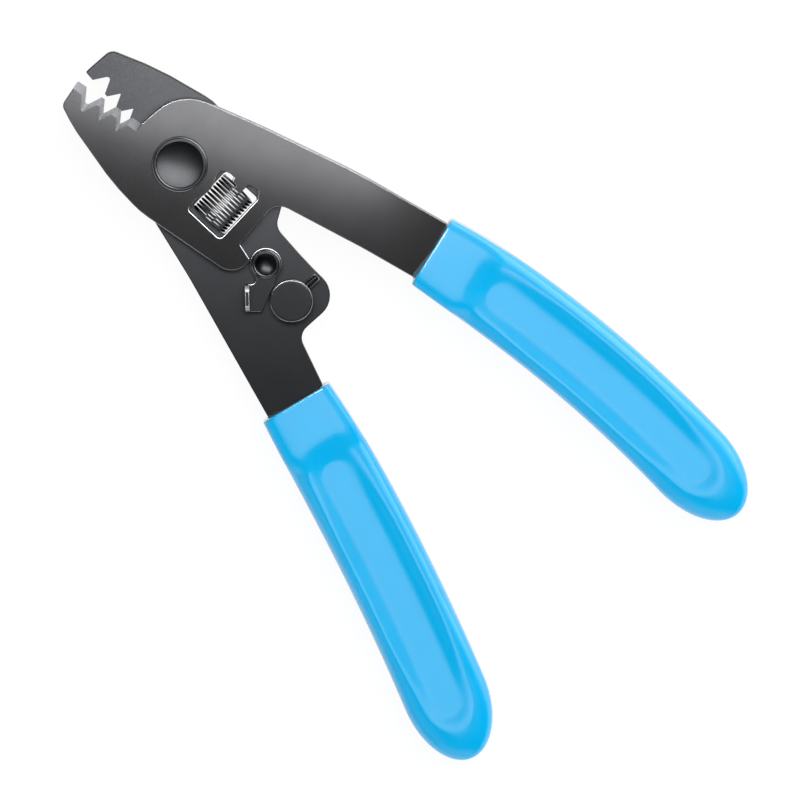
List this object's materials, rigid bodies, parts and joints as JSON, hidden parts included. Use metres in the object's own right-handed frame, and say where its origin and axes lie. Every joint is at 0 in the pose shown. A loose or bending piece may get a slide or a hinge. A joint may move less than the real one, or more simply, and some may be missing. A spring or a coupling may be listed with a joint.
{
  "type": "fibre stripper",
  "caption": "Plier-shaped optical fibre stripper: lapped steel plates with ground V-notched jaws, dished pivot rivet, coil return spring, latch, adjustable stop and bent vinyl sleeves.",
  "frame": {"origin": "centre of the pivot rivet's flat rear end", "axes": "+Y from the pivot towards the jaws along the closed notches' centre line, +Z along the pivot from the rear plate to the front plate, +X towards the front plate's handle"},
  "size_m": [0.0901, 0.1627, 0.0135],
  "materials": {
    "dark_steel": "dark satin",
    "rivet_steel": "dark satin",
    "spring_steel": "bright",
    "vinyl": "glossy dip coating"
  },
  "bodies": {
    "rear_handle": {"rear_plate": "dark_steel", "rear_grip": "vinyl", "pivot_rivet": "rivet_steel", "pivot_washer": "rivet_steel", "return_spring": "spring_steel", "latch_rivet": "rivet_steel", "latch_washer": "spring_steel", "stop_boss": "rivet_steel", "stop_screw": "rivet_steel"},
    "front_handle": {"front_plate": "dark_steel", "front_grip": "vinyl"},
    "latch": {"latch_lever": "dark_steel"}
  },
  "joints": [
    {"name": "handle_hinge", "type": "hinge", "parent": "rear_handle", "child": "front_handle", "pos_m": [0, 0, 0.006], "axis": [0, 0, -1], "range_deg": [0, 15], "stiffness_Nm_per_rad": 0.1, "springref_deg": -20.05, "deforming": ["return_spring"]},
    {"name": "latch_swing", "type": "hinge", "parent": "rear_handle", "child": "latch", "pos_m": [-0.00024, -0.0277, 0.0056], "axis": [0, 0, -1], "range_deg": [0, 26]}
  ]
}
